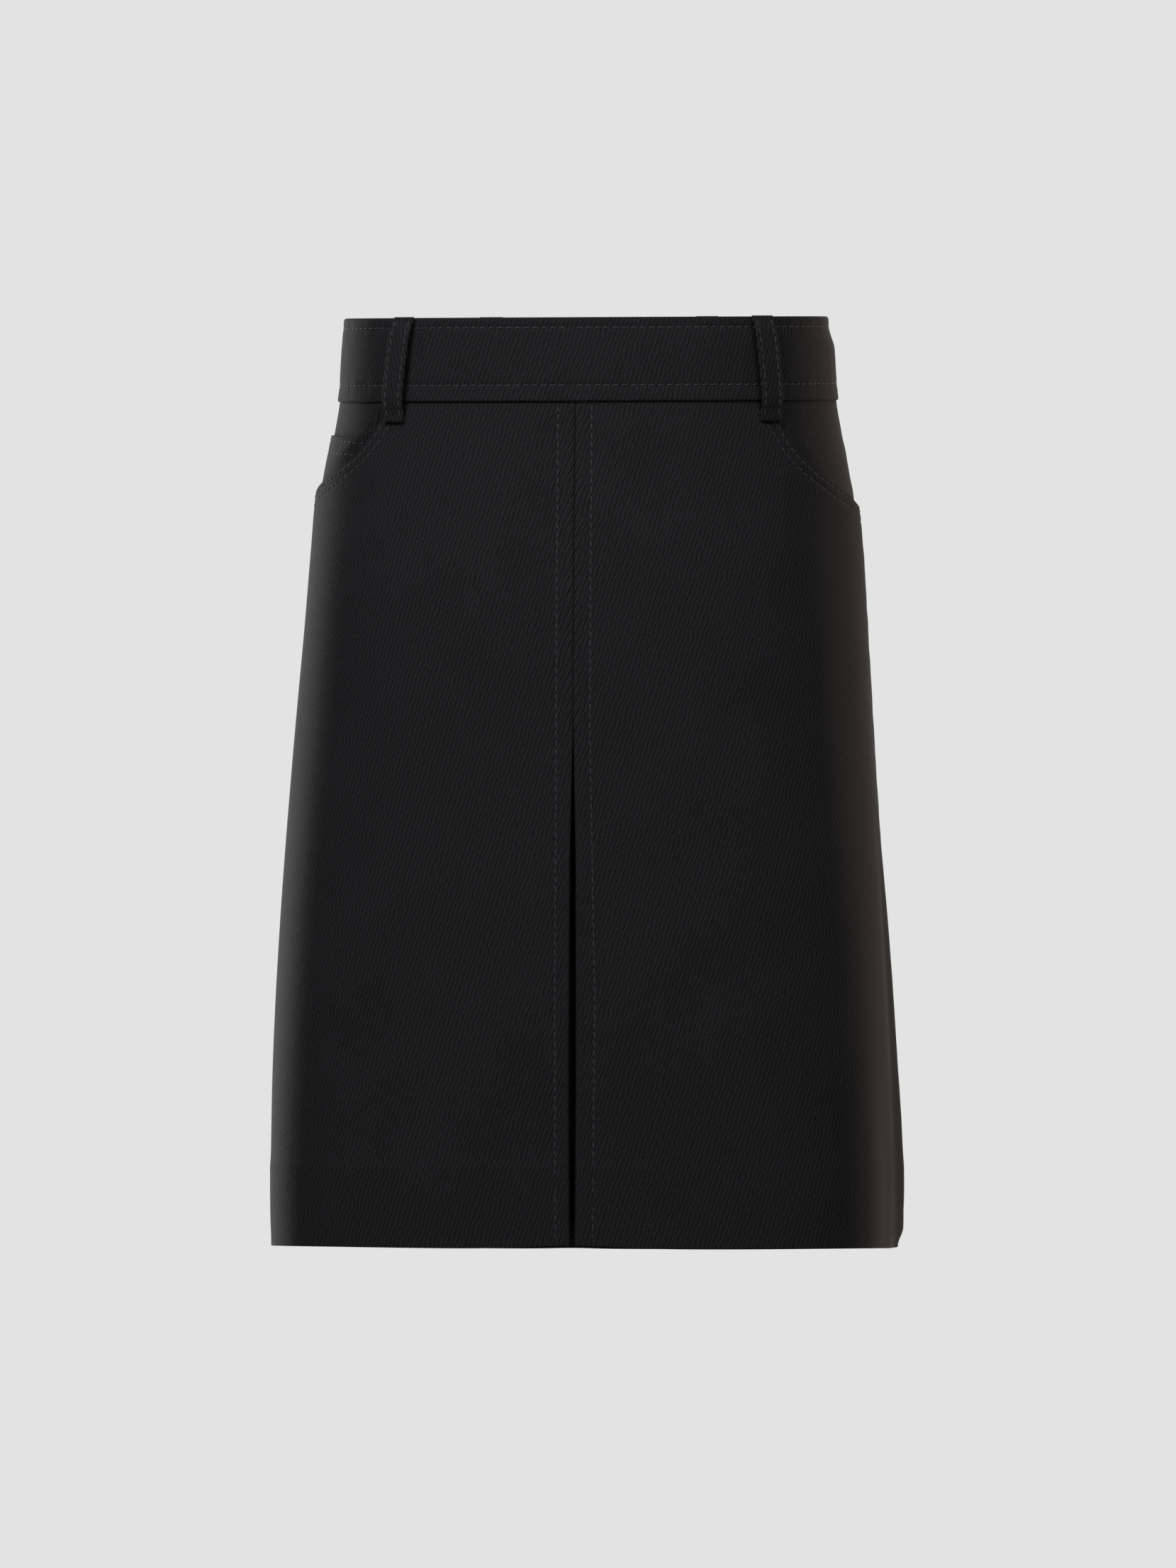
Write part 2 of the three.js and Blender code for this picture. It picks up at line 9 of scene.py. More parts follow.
import bpy
import numpy as np
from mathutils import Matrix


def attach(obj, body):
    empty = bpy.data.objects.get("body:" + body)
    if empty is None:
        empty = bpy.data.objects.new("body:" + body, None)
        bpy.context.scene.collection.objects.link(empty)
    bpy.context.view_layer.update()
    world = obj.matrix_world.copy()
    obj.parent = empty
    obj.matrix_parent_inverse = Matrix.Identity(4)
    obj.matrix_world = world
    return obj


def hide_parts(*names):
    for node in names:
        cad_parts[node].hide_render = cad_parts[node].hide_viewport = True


MM = 0.001
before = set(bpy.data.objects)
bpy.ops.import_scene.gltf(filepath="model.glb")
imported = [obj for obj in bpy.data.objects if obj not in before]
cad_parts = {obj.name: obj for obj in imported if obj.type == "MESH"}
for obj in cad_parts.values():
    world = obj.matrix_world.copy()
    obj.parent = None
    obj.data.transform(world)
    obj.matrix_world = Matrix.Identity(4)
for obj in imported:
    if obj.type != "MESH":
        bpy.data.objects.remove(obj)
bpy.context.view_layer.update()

# ---------------------------------------------------------------- sizes of the skirt
LENGTH = 518
CLOTH = 1.2
SEAM_GAP = 0.02
LAYER_GAP = 0.4
BAND_HEIGHT = 47
BAND_SLOT = 9
BAND_OUT = 2.6
BAND_IN = -1.3
BAND_END = 0.9
WAIST_TILT = 6
SEAM_BEHIND = 4
RETURN_DEPTH = 48
UNDERLAY_HALF = 50
TURN_UP = 45
TURN_UP_THICK = 0.9
DIP_RUN = 9
BAG_THICK = 1.0
TAPE_WIDTH = 12
TAPE_THICK = 1.0
ZIP_LENGTH = 200
LOOP_WIDTH = 13
LOOP_THICK = 1.8
UNDER_BAND = BAND_HEIGHT + LAYER_GAP
IN_SLOT = BAND_HEIGHT - BAND_SLOT
MOUTH_U = 0.553
LIFT_FADE = 38
LEVEL_BELOW = 200

# Half sections of the worn form: depth, half breadth, front depth, back depth, squareness.
SECTIONS = np.array([
    (0, 135, 94, 92, 2.25),
    (46, 138.6, 96, 98, 2.25),
    (95, 147.5, 101, 108, 2.3),
    (140, 154.2, 106, 114, 2.35),
    (180, 158, 109, 117, 2.4),
    (260, 164, 112, 118, 2.5),
    (340, 169.6, 114.5, 118.5, 2.65),
    (420, 173.8, 116.5, 119, 2.8),
    (480, 175.2, 117.5, 119.5, 3.0),
    (518, 174.6, 118, 120, 3.1),
])
# Broad folds of the hanging cloth: side, u of the crest, half width in u, start, deepest, out.
DRAPE = [
    (1, 1, 0.5, 90, 300, -2.8),
    (-1, 1, 0.5, 90, 300, 1.6),
    (1, 0.96, 0.09, 260, 450, 2),
    (1, 0.99, 0.12, 400, 490, 2.2),
    (1, 0.8, 0.12, 290, 518, -2),
    (-1, 0.95, 0.12, 420, 500, -1.8),
    (1, 1.45, 0.2, 200, 518, 3),
    (-1, 1.5, 0.22, 220, 518, 2.5),
]
# Finer creases: side, start (u, h), end (u, h), half width in mm, out in mm.
CREASES = [
    (1, (0.93, 300), (0.955, 505), 7, 1.2),
    (1, (0.9, 320), (0.92, 510), 9, -0.9),
    (1, (0.62, 60), (0.5, 150), 16, 0.5),
    (1, (0.45, 330), (0.4, 515), 26, 0.7),
    (1, (0.2, 240), (0.17, 515), 20, 0.6),
    (1, (0.72, 130), (0.75, 330), 18, -0.6),
    (-1, (0.6, 62), (0.46, 140), 15, 0.5),
    (-1, (0.22, 300), (0.2, 515), 24, 0.6),
    (-1, (0.5, 260), (0.55, 515), 30, -0.8),
    (-1, (0.86, 180), (0.9, 430), 15, 0.8),
    (-1, (0.955, 478), (0.99, 490), 9, -0.9),
    (-1, (0.95, 496), (0.99, 503), 7, 0.8),
    (1, (1.2, 70), (1.35, 210), 17, 0.7),
    (1, (1.6, 300), (1.66, 515), 22, -1.1),
    (1, (1.78, 120), (1.7, 240), 14, -0.6),
    (-1, (1.25, 80), (1.33, 240), 18, 0.6),
    (-1, (1.68, 280), (1.63, 515), 21, -1.0),
    (-1, (1.82, 110), (1.75, 230), 15, -0.6),
    (-1, (1.1, 330), (1.13, 515), 15, 0.9),
    (1, (1, -10), (1, 12), 40, -2.2),
    (1, (1, 512), (1, 530), 22, -3),
    (-1, (1, 508), (1, 528), 24, -4.5),
]
# The hem hangs lower at the side seams: side, depth it starts from, how far down, half width in u.
SIDE_HANG = {1: (300, 5.4, 0.3), -1: (300, 5.2, 0.32)}
# Pocket mouths: cloth distance, and the height of the mouth's edge on the wearer's left and right.
MOUTH = np.array([
    (107, 47, 47), (116, 58.5, 57.5), (121.5, 67, 65), (127, 74, 70.5), (134, 80.5, 76.5), (146, 88.5, 83),
    (160, 95.5, 88.5), (175, 101, 93.5), (190, 106, 98.5), (209, 109.5, 102.5),
])
# How far the mouth's loose edge stands out: u, wearer's left, wearer's right.
MOUTH_LIFT = np.array([
    (0.55, 0, 0), (0.6, 0.3, 0.3), (0.7, 1.2, 1.2), (0.8, 2.2, 2.5), (0.9, 3.1, 4.2), (0.96, 2.7, 3.8),
    (1, 1.2, 1.6),
])
POCKET_ROOM = {1: CLOTH + LAYER_GAP, -1: 2 * (CLOTH + LAYER_GAP)}
# Half the opening between the pleat's folded edges: depth, half gap.
PLEAT_GAP = np.array([(0, 0.03), (226, 0.03), (300, 1.5), (420, 2.0), (518, 1.5)])
# Topstitching beside the pleat: depth, distance from the centre on the wearer's left and right.
PLEAT_STITCH = np.array([(0, 9.3, 9.3), (230, 9.3, 9.3), (380, 12.3, 9.7), (518, 11.2, 9.2)])
BAND_STITCH = (5.8, 38.0)
MOUTH_STITCH = (2.0, 6.6)
STITCH_PITCH = 5.0
STITCH_LONG = 3.6
STITCH_SLANT = 0.12
LOOP_STITCH_SLANT = 0.05
THREAD = 0.64
# The back darts: distance from the centre back, and the depths where they narrow and end.
DART_FROM_BACK = 96
DART_NARROWS = 130
DART_ENDS = 152
# The hem rises towards the pleat's folds: how far, how wide and from which depth.
HEM_LIFT = 2.0
HEM_LIFT_WIDTH = 34
HEM_LIFT_START = 440
# The pleat's free edges below the sewn part: the first rides up on the other, and both fade in width.
PLEAT_SEWN_TO = 230
PLEAT_EDGE_OUT = {1: 0.5, -1: -0.15}
PLEAT_EDGE_WIDTH = 7
# Behind the opening the underlay hangs deeper.
UNDERLAY_DEEPER = 6
UNDERLAY_DEEPER_WIDTH = 15
SIDE_NAMES = {1: "left", -1: "right"}


# ---------------------------------------------------------------- the worn form
def smooth_table(table, column, at):
    """A smooth curve through one column of a table, by its first column."""
    x, y = table[:, 0], table[:, column]
    ends = np.clip(np.arange(len(x))[:, None] + [-1, 1], 0, len(x) - 1)
    slope = (y[ends[:, 1]] - y[ends[:, 0]]) / (x[ends[:, 1]] - x[ends[:, 0]])
    i = np.clip(np.searchsorted(x, at, side="left") - 1, 0, len(x) - 2)
    run = x[i + 1] - x[i]
    t = np.clip((at - x[i]) / run, 0, 1)
    turn = t * t * (3 - 2 * t)
    bend = run * (t * (1 - t) ** 2 * slope[i] - t * t * (1 - t) * slope[i + 1])
    return y[i] * (1 - turn) + y[i + 1] * turn + bend


def smoothstep(x, start, end):
    t = np.clip((x - start) / (end - start), 0, 1)
    return t * t * (3 - 2 * t)


FORM_STEP = 2.0
FORM_H = np.arange(-6, LENGTH + 12, FORM_STEP)
FORM_ACROSS = 1500
FORM_TURNS = 3000


def worn_form():
    """The form as a table over depth and share of the half round, with each section's length."""
    angle = np.linspace(0, np.pi, FORM_TURNS + 1)
    half, front, back, square = (smooth_table(SECTIONS, k, FORM_H)[:, None] for k in (1, 2, 3, 4))
    depth = np.where(angle < np.pi / 2, front, back)
    power = (np.abs(np.sin(angle)) / half) ** square + (np.abs(np.cos(angle)) / depth) ** square
    radius = power ** (-1 / square)
    x, y = radius * np.sin(angle), -radius * np.cos(angle)
    steps = np.hypot(np.diff(x, axis=1), np.diff(y, axis=1))
    s = np.concatenate([np.zeros((len(FORM_H), 1)), np.cumsum(steps, axis=1)], axis=1)
    share = np.linspace(0, 1, FORM_ACROSS + 1)
    end = s[:, -1]
    even_x = np.array([np.interp(share * end[k], s[k], x[k]) for k in range(len(FORM_H))])
    even_y = np.array([np.interp(share * end[k], s[k], y[k]) for k in range(len(FORM_H))])
    return even_x, even_y, s[:, FORM_TURNS // 2] + SEAM_BEHIND, end


FORM_X, FORM_Y, FORM_SEAM, FORM_END = worn_form()


def seam_at(h):
    """Cloth distance from the centre front to the side seam."""
    return np.interp(h, FORM_H, FORM_SEAM)


def end_at(h):
    """Cloth distance from the centre front to the centre back."""
    return np.interp(h, FORM_H, FORM_END)


def distance(u, h):
    seam, end = seam_at(h), end_at(h)
    return np.where(u <= 1, u * seam, seam + (u - 1) * (end - seam))


def share_round(s, h):
    seam, end = seam_at(h), end_at(h)
    return np.where(s <= seam, s / seam, 1 + (s - seam) / (end - seam))


def form_look_up(grid, s, h):
    """One of the form's tables at cloth places, between its rows and columns."""
    row = np.clip((h - FORM_H[0]) / FORM_STEP, 0, len(FORM_H) - 1.001)
    column = np.clip(s / end_at(h), 0, 1) * FORM_ACROSS
    column = np.minimum(column, FORM_ACROSS - 0.001)
    j, i = row.astype(int), column.astype(int)
    v, w = row - j, column - i
    upper = grid[j, i] * (1 - w) + grid[j, i + 1] * w
    lower = grid[j + 1, i] * (1 - w) + grid[j + 1, i + 1] * w
    return upper * (1 - v) + lower * v


def drape_out(side, s, h):
    """How far the folds and creases move the cloth out from the plain form."""
    u = share_round(s, h)
    out = np.zeros_like(u)
    for fold_side, crest, width, start, deep, far in DRAPE:
        reach = np.minimum(np.abs(u - crest) / width, 1)
        out += (fold_side == side) * far * np.cos(reach * np.pi / 2) ** 2 * smoothstep(h, start, deep)
    for crease_side, start, end, width, far in CREASES:
        if crease_side != side:
            continue
        along = np.clip((h - start[1]) / (end[1] - start[1]), -0.3, 1.3)
        line = distance(start[0] + (end[0] - start[0]) * along, h)
        window = smoothstep(along, -0.25, 0.3) * (1 - smoothstep(along, 0.75, 1.3))
        if end[1] > LENGTH - 10:
            window = smoothstep(along, -0.25, 0.3)
        out += far * window * np.exp(-((s - line) / width) ** 2)
    return out


NORMAL_STEP = 1.5
TOUCHING = 1e-6


def on_cloth(side, s, h, d):
    """Points in metres. Past the centre front s is negative."""
    s, h, d = np.broadcast_arrays(*(np.asarray(a, float) for a in (s, h, d)))
    reach = np.abs(s)
    x, y = form_look_up(FORM_X, reach, h), form_look_up(FORM_Y, reach, h)
    before, after = np.maximum(reach - NORMAL_STEP, 0), np.minimum(reach + NORMAL_STEP, end_at(h))
    run_x = form_look_up(FORM_X, after, h) - form_look_up(FORM_X, before, h)
    run_y = form_look_up(FORM_Y, after, h) - form_look_up(FORM_Y, before, h)
    at_centre = (reach < TOUCHING) | (end_at(h) - reach < TOUCHING)
    run_y = np.where(at_centre, 0, run_y)
    size = np.hypot(run_x, run_y)
    out = d + drape_out(side, reach, h)
    x, y = x + out * run_y / size, y - out * run_x / size
    front, back = smooth_table(SECTIONS, 2, h), smooth_table(SECTIONS, 3, h)
    tilt = WAIST_TILT * (1 - h / LENGTH) * np.where(y < 0, y / front, y / back)
    start, down, width = SIDE_HANG[side]
    hang = down * np.exp(-(((share_round(reach, h) - 1) / width) ** 2)) * smoothstep(h, start, LENGTH)
    sign = side * np.where(s < 0, -1, 1)
    return np.stack([sign * x, y, BAND_HEIGHT / 2 - h + tilt - hang], axis=-1) * MM


# ---------------------------------------------------------------- pockets, seams and stitching on the form
def mouth_table(side):
    height = MOUTH[:, 1 if side > 0 else 2]
    return np.stack([share_round(MOUTH[:, 0], height), height], axis=1)


MOUTH_BY_U = {side: mouth_table(side) for side in (1, -1)}


def mouth_at(side, u):
    return smooth_table(MOUTH_BY_U[side], 1, np.maximum(u, MOUTH_U))


def lift_at(side, u, h):
    below = np.maximum(h - mouth_at(side, u), 0)
    out = smooth_table(MOUTH_LIFT, 1 if side > 0 else 2, u) * np.exp(-((below / LIFT_FADE) ** 1.4))
    return np.where((u > MOUTH_U) & (u <= 1), out, 0)


def facing_out(side, u, h):
    under = np.minimum(0, lift_at(side, u, h) - POCKET_ROOM[side])
    above = mouth_at(side, u) - 1 - h
    return np.where(u < MOUTH_U, under, under * np.clip(1 - above / DIP_RUN, 0, 1))


# Width and depth of the grooves along seams, topstitching and darts.
SEAM_GROOVE = (2.4, 0.3)
FACING_GROOVE = (2.4, 0.35)
PLEAT_GROOVE = (1.3, 0.34)
BAND_GROOVE = (1.3, 0.35)
MOUTH_GROOVE = (1.2, 0.3)
COIN_GROOVE = (1, 0.25)
DART_GROOVE = (2.0, 0.55)
LOOP_GROOVE = (0.8, 0.22)


def groove(distance_from, width, deep):
    return -deep * np.exp(-((distance_from / width) ** 2))


def pucker(along, across, reach, high):
    """Small uneven waves that a row of stitches pulls into the cloth beside it."""
    wave = np.sin(along / 1.9) * 0.5 + np.sin(along / 3.1 + 1.7) + np.sin(along / 5.3 + 0.4) * 0.8
    return high * wave * np.exp(-((across / reach) ** 2))


def seam_relief(side, s, h):
    """Grooves and puckers along the seams, darts and topstitching of the outer panels."""
    u = share_round(s, h)
    out = groove(s - seam_at(h), *SEAM_GROOVE) + groove(end_at(h) - s, *SEAM_GROOVE)
    out += pucker(h, s - seam_at(h), 9, 0.12) + pucker(h + 40, end_at(h) - s, 9, 0.14)
    row = np.interp(h, PLEAT_STITCH[:, 0], PLEAT_STITCH[:, 1 if side > 0 else 2])
    out += groove(s - row, *PLEAT_GROOVE) + pucker(h + 13 * side, s - row, 5, 0.09)
    below = (h - mouth_at(side, u)) * np.where((u > MOUTH_U) & (u <= 1), 1, 1e3)
    slope = np.where(u < 0.66, 0.64, 0.9)
    for far in MOUTH_STITCH:
        out += groove(below * slope - far, *MOUTH_GROOVE)
    dart = groove(s - end_at(h) + DART_FROM_BACK, *DART_GROOVE)
    out += np.where(u > 1, dart * (1 - smoothstep(h, DART_NARROWS, DART_ENDS)), 0)
    turn_up_top = LENGTH - TURN_UP
    ridge = 0.22 * np.exp(-(((h - turn_up_top) / 4) ** 2))
    return out + ridge + 0.25 * smoothstep(h, turn_up_top - 3, turn_up_top + 4)


# ---------------------------------------------------------------- meshes
def new_object(name, points, faces, cloth_xy, material):
    """A smooth mesh with a map in metres of the flat cloth, for the weave."""
    mesh = bpy.data.meshes.new(name)
    mesh.from_pydata(points.tolist(), [], [list(face) for face in faces])
    mesh.validate()
    if cloth_xy is not None:
        layer = mesh.uv_layers.new(name="cloth")
        corners = np.zeros(len(mesh.loops), np.int32)
        mesh.loops.foreach_get("vertex_index", corners)
        layer.data.foreach_set("uv", (cloth_xy[corners] * MM).astype(np.float32).ravel())
    mesh.shade_smooth()
    mesh.materials.append(material)
    obj = bpy.data.objects.new(name, mesh)
    bpy.context.scene.collection.objects.link(obj)
    return obj


def soften(obj, width):
    """Rounds the cut and folded rims of a piece, so that no edge is sharp."""
    bevel = obj.modifiers.new("rim", "BEVEL")
    bevel.width = width * MM
    bevel.segments = 3
    bevel.limit_method = "ANGLE"
    bevel.angle_limit = math.radians(50)
    bevel.harden_normals = False
    bpy.context.view_layer.objects.active = obj
    obj.select_set(True)
    bpy.ops.object.modifier_apply(modifier=bevel.name)
    obj.select_set(False)


def wall(name, inner, outer, flat, mirrored, material, rim=0.45):
    """A closed wall between two grids of points, shaped (columns, rows, 3)."""
    columns, rows = inner.shape[:2]
    points = np.concatenate([inner.reshape(-1, 3), outer.reshape(-1, 3)])
    flat = np.concatenate([flat.reshape(-1, 2)] * 2)
    at = np.arange(columns * rows).reshape(columns, rows)
    a, b, c, d = at[:-1, :-1].ravel(), at[:-1, 1:].ravel(), at[1:, 1:].ravel(), at[1:, :-1].ravel()
    far = columns * rows
    quads = [np.stack([a + far, b + far, c + far, d + far], 1), np.stack([a, d, c, b], 1)]
    for strip, turn in ((at[:, 0], 1), (at[:, -1], -1), (at[0, :], -1), (at[-1, :], 1)):
        p, q = strip[:-1], strip[1:]
        quads.append(np.stack([p, p + far, q + far, q] if turn > 0 else [p, q, q + far, p + far], 1))
    faces = np.concatenate(quads)
    if mirrored:
        faces = faces[:, ::-1]
    obj = new_object(name, points, faces, flat, material)
    if rim:
        soften(obj, rim)
    return obj


def sweep(name, stations, flat, material):
    """A closed tube through stations shaped (stations, corners, 3), with its ends filled."""
    count, corners = stations.shape[:2]
    at = np.arange(count * corners).reshape(count, corners)
    after = np.roll(at, -1, axis=1)
    faces = np.stack([at[:-1], after[:-1], after[1:], at[1:]], axis=-1).reshape(-1, 4).tolist()
    faces += [at[0, ::-1].tolist(), at[-1].tolist()]
    return new_object(name, stations.reshape(-1, 3), faces, flat.reshape(-1, 2), material)


def spread(*stops):
    """Column or row places: each stop is (place, spacing up to the next)."""
    places = []
    for (start, gap), (end, _) in zip(stops[:-1], stops[1:]):
        count = max(1, round((end - start) / gap))
        places += list(np.linspace(start, end, count, endpoint=False))
    return np.array(places + [stops[-1][0]])


def recalculated(obj):
    """Turns every face outwards."""
    bpy.context.view_layer.objects.active = obj
    obj.select_set(True)
    bpy.ops.object.mode_set(mode="EDIT")
    bpy.ops.mesh.select_all(action="SELECT")
    bpy.ops.mesh.normals_make_consistent(inside=False)
    bpy.ops.object.mode_set(mode="OBJECT")
    obj.select_set(False)
    return obj


# ---------------------------------------------------------------- materials
def linear(hex_colour):
    """An sRGB hex value as linear light."""
    parts = [int(hex_colour[k:k + 2], 16) / 255 for k in (1, 3, 5)]
    return [c / 12.92 if c <= 0.04045 else ((c + 0.055) / 1.055) ** 2.4 for c in parts] + [1]


def node(tree, kind, settings=None, **links):
    """Adds a node: settings by name, and each link by its input's name."""
    made = tree.nodes.new(kind)
    for key, value in (settings or {}).items():
        if hasattr(made, key):
            setattr(made, key, value)
        else:
            made.inputs[int(key[1:]) if key.startswith("#") else key].default_value = value
    for key, source in links.items():
        key = key.replace("_", " ")
        tree.links.new(source, made.inputs[int(key[1:]) if key[1:].isdigit() else key])
    return made


def set_ramp(ramp_node, dark, pale, dark_at=0.0, pale_at=1.0):
    """Sets a colour ramp's two ends, as sRGB hex values."""
    ends = ramp_node.color_ramp.elements
    ends[0].position, ends[1].position = dark_at, pale_at
    ends[0].color, ends[1].color = linear(dark), linear(pale)


def new_material(name):
    material = bpy.data.materials.new(name)
    material.use_nodes = True
    material.node_tree.nodes.clear()
    return material, material.node_tree


def finish_material(tree, shader):
    out = tree.nodes.new("ShaderNodeOutputMaterial")
    tree.links.new(shader.outputs[0], out.inputs["Surface"])


# Blender's wave bands repeat every 0.31416 of their coordinate, at scale 1.
BAND_PERIOD = 0.314159


def wool_twill():
    """Wool cavalry twill, woven and lightly fulled: steep ribs under a short nap. Its colour is painted shade
    along the ribs, darker in the valleys and paler on the crests, mixed with random tone from the nap and
    broad patches; the nap makes the cloth paler where it turns away from the eye."""
    material, tree = new_material("wool_twill")
    rib = 1.2 * MM
    paired_ribs = 2.35 * MM
    fuzz = 1.1 * MM
    cloud = 45 * MM
    steep = math.radians(18)
    cloth = node(tree, "ShaderNodeUVMap", {"uv_map": "cloth"})
    turned = node(tree, "ShaderNodeMapping", {"Rotation": (0, 0, steep)}, Vector=cloth.outputs[0])
    fine = node(tree, "ShaderNodeTexWave",
                {"Scale": BAND_PERIOD / rib, "Distortion": 2, "Detail": 2, "Detail Scale": 0.5},
                Vector=turned.outputs[0])
    paired = node(tree, "ShaderNodeTexWave",
                  {"Scale": BAND_PERIOD / paired_ribs, "Distortion": 4.5, "Detail": 3, "Detail Scale": 0.7},
                  Vector=turned.outputs[0])
    nap = node(tree, "ShaderNodeTexNoise", {"Scale": 1 / fuzz, "Detail": 3, "Roughness": 0.65},
               Vector=cloth.outputs[0])
    patch = node(tree, "ShaderNodeTexNoise", {"Scale": 1 / cloud, "Detail": 3}, Vector=cloth.outputs[0])
    ribs = node(tree, "ShaderNodeMix", {"data_type": "FLOAT", "Factor": 0.36},
                _2=fine.outputs["Fac"], _3=paired.outputs["Fac"])
    height = node(tree, "ShaderNodeMix", {"data_type": "FLOAT", "Factor": 0.46},
                  _2=ribs.outputs[0], _3=nap.outputs[0])
    shade = node(tree, "ShaderNodeMix", {"data_type": "FLOAT", "Factor": 0.1},
                 _2=height.outputs[0], _3=patch.outputs[0])
    # Painted shade: the colour follows the rib height, darker in the valleys between the ribs, with random
    # tone from the nap and the patches.
    colour = node(tree, "ShaderNodeValToRGB", {}, Fac=shade.outputs[0])
    set_ramp(colour, "#050506", "#2d2c31", 0.28, 0.74)
    bump = node(tree, "ShaderNodeBump", {"Strength": 0.55, "Distance": 0.00035}, Height=height.outputs[0])
    shader = node(tree, "ShaderNodeBsdfPrincipled",
                  {"Roughness": 0.88, "Specular IOR Level": 0.15,
                   "Sheen Weight": 0.28, "Sheen Roughness": 0.12, "Sheen Tint": linear("#d6d4d6")},
                  Base_Color=colour.outputs[0], Normal=bump.outputs[0])
    finish_material(tree, shader)
    return material


def plain_weave(name, dark, pale, thread, roughness):
    """A plain woven cloth: threads over and under in a fine check, with a dull surface; the check's colour is
    painted shade, darker where the threads dip under.
    """
    material, tree = new_material(name)
    cloth = node(tree, "ShaderNodeUVMap", {"uv_map": "cloth"})
    scale = BAND_PERIOD / (thread * MM)
    across = node(tree, "ShaderNodeTexWave", {"Scale": scale, "Distortion": 0.6}, Vector=cloth.outputs[0])
    along = node(tree, "ShaderNodeTexWave", {"bands_direction": "Y", "Scale": scale, "Distortion": 0.6},
                 Vector=cloth.outputs[0])
    weave = node(tree, "ShaderNodeMath", {"operation": "MULTIPLY"},
                 _0=across.outputs["Fac"], _1=along.outputs["Fac"])
    # Painted shade: the colour follows the weave height, darker where the threads dip under each other.
    colour = node(tree, "ShaderNodeValToRGB", {}, Fac=weave.outputs[0])
    set_ramp(colour, dark, pale)
    bump = node(tree, "ShaderNodeBump", {"Strength": 0.4, "Distance": 0.0002}, Height=weave.outputs[0])
    shader = node(tree, "ShaderNodeBsdfPrincipled", {"Roughness": roughness, "Specular IOR Level": 0.3},
                  Base_Color=colour.outputs[0], Normal=bump.outputs[0])
    finish_material(tree, shader)
    return material


def polyester_thread():
    """Spun polyester topstitching thread: twisted plies, a little glossier and paler than the wool."""
    material, tree = new_material("polyester_thread")
    where = node(tree, "ShaderNodeTexCoord")
    ply = 0.5 * MM
    plies = node(tree, "ShaderNodeTexNoise", {"Scale": 1 / ply, "Detail": 2}, Vector=where.outputs["Object"])
    colour = node(tree, "ShaderNodeValToRGB", {}, Fac=plies.outputs[0])
    set_ramp(colour, "#29282c", "#4a494f")
    bump = node(tree, "ShaderNodeBump", {"Strength": 0.4, "Distance": 0.0002}, Height=plies.outputs[0])
    shader = node(tree, "ShaderNodeBsdfPrincipled",
                  {"Roughness": 0.7, "Specular IOR Level": 0.3, "Sheen Weight": 0.05},
                  Base_Color=colour.outputs[0], Normal=bump.outputs[0])
    finish_material(tree, shader)
    return material


def lacquered_zinc():
    """Die cast zinc under black lacquer: smooth and half glossy, worn a little unevenly by handling."""
    material, tree = new_material("lacquered_zinc")
    where = node(tree, "ShaderNodeTexCoord")
    rubbed = 2.5 * MM
    wear = node(tree, "ShaderNodeTexNoise", {"Scale": 1 / rubbed, "Detail": 4},
                Vector=where.outputs["Object"])
    colour = node(tree, "ShaderNodeValToRGB", {}, Fac=wear.outputs[0])
    set_ramp(colour, "#1b1b1d", "#2b2b2e")
    gloss = node(tree, "ShaderNodeMapRange", {"To Min": 0.28, "To Max": 0.45}, Value=wear.outputs[0])
    shader = node(tree, "ShaderNodeBsdfPrincipled", {"Metallic": 0.85}, Base_Color=colour.outputs[0],
                  Roughness=gloss.outputs[0])
    finish_material(tree, shader)
    return material


WOOL = wool_twill()
POCKETING = plain_weave("cotton_pocketing", "#101012", "#232226", 1.0, 0.85)
TAPE = plain_weave("zip_tape_weave", "#0e0e10", "#202024", 0.8, 0.7)
THREAD_FINISH = polyester_thread()
ZIP_METAL = lacquered_zinc()


def place_piece(obj, replaced):
    """A cloth piece rides on the skirt and stands for its plain solid, which is hidden."""
    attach(obj, "skirt")
    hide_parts(replaced)
    return obj


# ---------------------------------------------------------------- stitching
def stitch_row(name, points, outwards, slant):
    """One row of topstitching: short rounded lengths of thread on the cloth, each dipping in at its ends."""
    steps = np.linalg.norm(np.diff(points, axis=0), axis=1)
    run = np.concatenate([[0], np.cumsum(steps)]) / MM
    count = int((run[-1] - STITCH_LONG) // STITCH_PITCH) + 1
    rings, sides = 7, 6
    turn = np.linspace(0, 2 * np.pi, sides, endpoint=False)
    t = np.linspace(-1, 1, rings)
    vertices, faces = [], []
    for k in range(count):
        start = k * STITCH_PITCH + 0.5
        along = start + np.linspace(0, 1, rings) * STITCH_LONG
        line = np.stack([np.interp(along, run, points[:, c]) for c in range(3)], 1)
        normal = np.stack([np.interp(along, run, outwards[:, c]) for c in range(3)], 1)
        normal /= np.linalg.norm(normal, axis=1)[:, None]
        ahead = line[-1] - line[0]
        ahead /= np.linalg.norm(ahead)
        beside = np.cross(normal, ahead)
        line = line + beside * (t * slant * STITCH_LONG / 2 * MM)[:, None]
        line = line + normal * ((0.34 - 0.5 * t ** 4) * THREAD / 2 * MM)[:, None]
        fat = THREAD / 2 * MM * np.sqrt(np.maximum(1 - 0.85 * t ** 6, 0.1))
        base = len(vertices)
        for r in range(rings):
            for a in turn:
                vertices.append(line[r] + fat[r] * (np.cos(a) * beside[r] + np.sin(a) * normal[r]))
        for r in range(rings - 1):
            for a in range(sides):
                b = (a + 1) % sides
                faces.append([base + r * sides + a, base + r * sides + b, base + (r + 1) * sides + b,
                              base + (r + 1) * sides + a])
        faces.append([base + a for a in reversed(range(sides))])
        faces.append([base + (rings - 1) * sides + a for a in range(sides)])
    obj = recalculated(new_object(name, np.array(vertices), faces, None, THREAD_FINISH))
    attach(obj, "skirt")
    return obj


